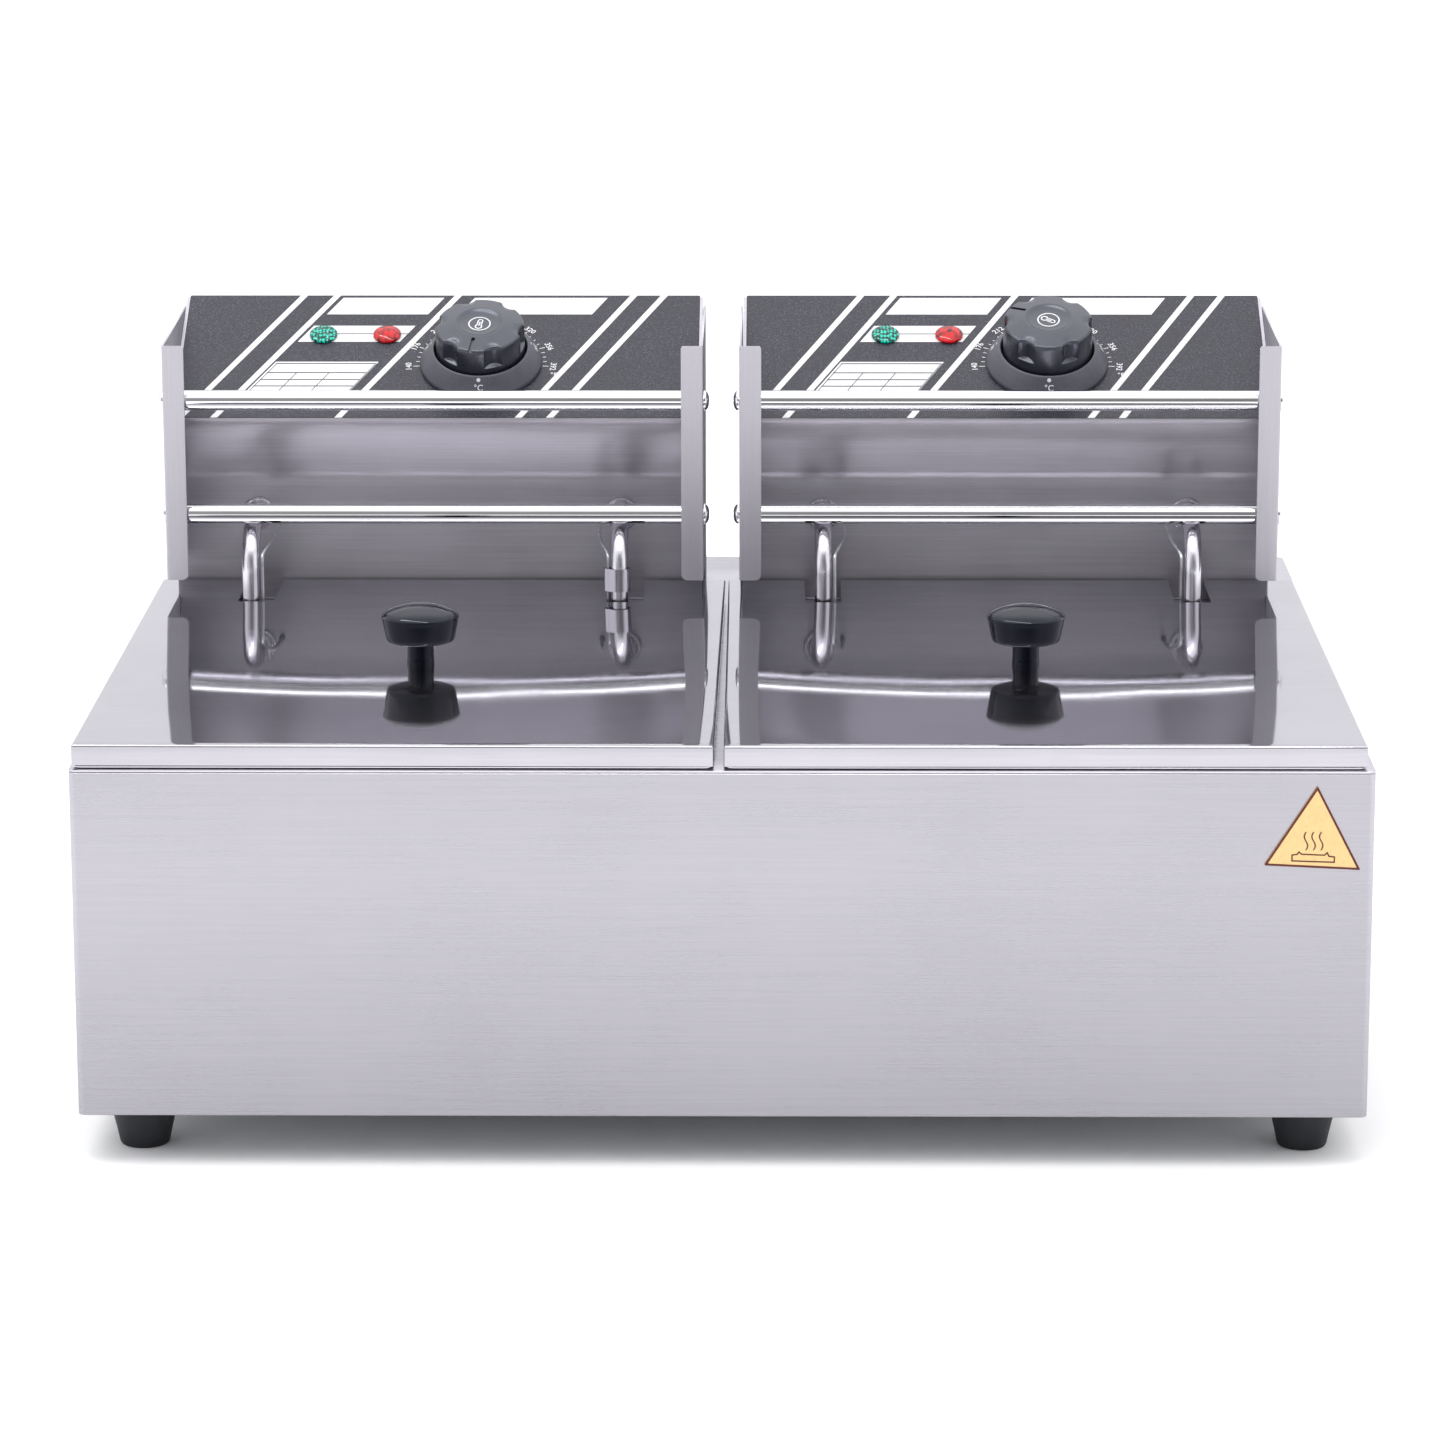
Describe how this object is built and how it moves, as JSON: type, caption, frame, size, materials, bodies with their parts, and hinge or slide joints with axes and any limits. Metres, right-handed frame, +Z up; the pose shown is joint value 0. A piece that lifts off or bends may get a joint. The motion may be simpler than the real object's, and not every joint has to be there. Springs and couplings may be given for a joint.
{
  "type": "deep fryer",
  "caption": "Countertop electric deep fryer with side-by-side oil tanks, lift-off lids and control heads whose looped heating elements hang into the oil.",
  "frame": {"origin": "centre of the footprint, on the worktop under the feet", "axes": "+X to the user's right along the long side, +Y towards the back, +Z up"},
  "size_m": [0.55, 0.4406, 0.3191],
  "materials": {
    "casing_steel": "horizontal fine brushing",
    "deck_steel": "fine brushed",
    "pot_steel": "satin",
    "lid_steel": "semi-mirror brushed",
    "head_steel": "horizontal fine brushing",
    "bar_chrome": "polished",
    "wire_chrome": "nickel plated",
    "element_steel": "bright drawn tube",
    "galvanised": "zinc",
    "panel_print": "fine speckled charcoal print with white stripes",
    "black_gloss": "gloss",
    "knob_black": "satin gloss",
    "bezel_grey": "satin",
    "foot_rubber": "matte",
    "lens_green": "faceted lens",
    "lens_red": "clear lens",
    "amber_label": "printed film",
    "ceramic": "glazed ceramic",
    "button_red": "gloss"
  },
  "bodies": {
    "root": {"outer_casing": "casing_steel", "top_deck": "deck_steel", "base_plate": "galvanised", "foot_front_left": "foot_rubber", "foot_front_right": "foot_rubber", "foot_rear_right": "foot_rubber", "foot_rear_left": "foot_rubber", "hot_surface_label": "amber_label", "left_oil_pot": "pot_steel", "right_oil_pot": "pot_steel"},
    "left_head": {"left_head_housing": "head_steel", "left_control_panel": "panel_print", "left_cheek_left": "head_steel", "left_cheek_right": "head_steel", "left_upper_bar": "bar_chrome", "left_lower_bar": "bar_chrome", "left_upper_screw_left": "bar_chrome", "left_upper_screw_right": "bar_chrome", "left_lower_screw_left": "bar_chrome", "left_lower_screw_right": "bar_chrome", "left_heating_element": "element_steel", "left_sensor_clip": "element_steel", "left_thermostat": "galvanised", "left_limit_thermostat": "galvanised", "left_terminal_block": "ceramic", "left_cable_gland": "black_gloss", "left_knob_bezel": "bezel_grey", "left_green_lamp": "lens_green", "left_red_lamp": "lens_red"},
    "left_lid": {"left_lid": "lid_steel", "left_lid_knob": "black_gloss"},
    "left_basket": {"left_basket": "wire_chrome"},
    "left_dial": {"left_temperature_knob": "knob_black", "left_thermostat_shaft": "galvanised"},
    "left_reset": {"left_reset_button": "button_red"},
    "right_head": {"right_head_housing": "head_steel", "right_control_panel": "panel_print", "right_cheek_left": "head_steel", "right_cheek_right": "head_steel", "right_upper_bar": "bar_chrome", "right_lower_bar": "bar_chrome", "right_upper_screw_left": "bar_chrome", "right_upper_screw_right": "bar_chrome", "right_lower_screw_left": "bar_chrome", "right_lower_screw_right": "bar_chrome", "right_heating_element": "element_steel", "right_sensor_clip": "element_steel", "right_thermostat": "galvanised", "right_limit_thermostat": "galvanised", "right_terminal_block": "ceramic", "right_cable_gland": "black_gloss", "right_knob_bezel": "bezel_grey", "right_green_lamp": "lens_green", "right_red_lamp": "lens_red"},
    "right_lid": {"right_lid": "lid_steel", "right_lid_knob": "black_gloss"},
    "right_basket": {"right_basket": "wire_chrome"},
    "right_dial": {"right_temperature_knob": "knob_black", "right_thermostat_shaft": "galvanised"},
    "right_reset": {"right_reset_button": "button_red"}
  },
  "joints": [
    {"name": "left_head_lift", "type": "slide", "parent": "root", "child": "left_head", "axis": [0, 0, 1], "range_m": [0, 0.16]},
    {"name": "left_lid_slide", "type": "slide", "parent": "left_head", "child": "left_lid", "axis": [0, -0.9877, 0.1564], "range_m": [0, 0.34]},
    {"name": "left_basket_lift", "type": "slide", "parent": "left_head", "child": "left_basket", "axis": [0, 0, 1], "range_m": [0, 0.008]},
    {"name": "left_knob_turn", "type": "hinge", "parent": "left_head", "child": "left_dial", "pos_m": [-0.1186, 0.12885, 0.2876], "axis": [0, -0.4577, 0.8891], "range_deg": [-259.6, 10.4]},
    {"name": "left_reset_press", "type": "slide", "parent": "left_head", "child": "left_reset", "axis": [0, -1, 0], "range_m": [0, 0.002], "stiffness_N_per_m": 400, "springref_m": -0.001},
    {"name": "right_head_lift", "type": "slide", "parent": "root", "child": "right_head", "axis": [0, 0, 1], "range_m": [0, 0.16]},
    {"name": "right_lid_slide", "type": "slide", "parent": "right_head", "child": "right_lid", "axis": [0, -0.9877, 0.1564], "range_m": [0, 0.34]},
    {"name": "right_basket_lift", "type": "slide", "parent": "right_head", "child": "right_basket", "axis": [0, 0, 1], "range_m": [0, 0.008]},
    {"name": "right_knob_turn", "type": "hinge", "parent": "right_head", "child": "right_dial", "pos_m": [0.1516, 0.12885, 0.2876], "axis": [0, -0.4577, 0.8891], "range_deg": [-148, 122]},
    {"name": "right_reset_press", "type": "slide", "parent": "right_head", "child": "right_reset", "axis": [0, -1, 0], "range_m": [0, 0.002], "stiffness_N_per_m": 400, "springref_m": -0.001}
  ]
}
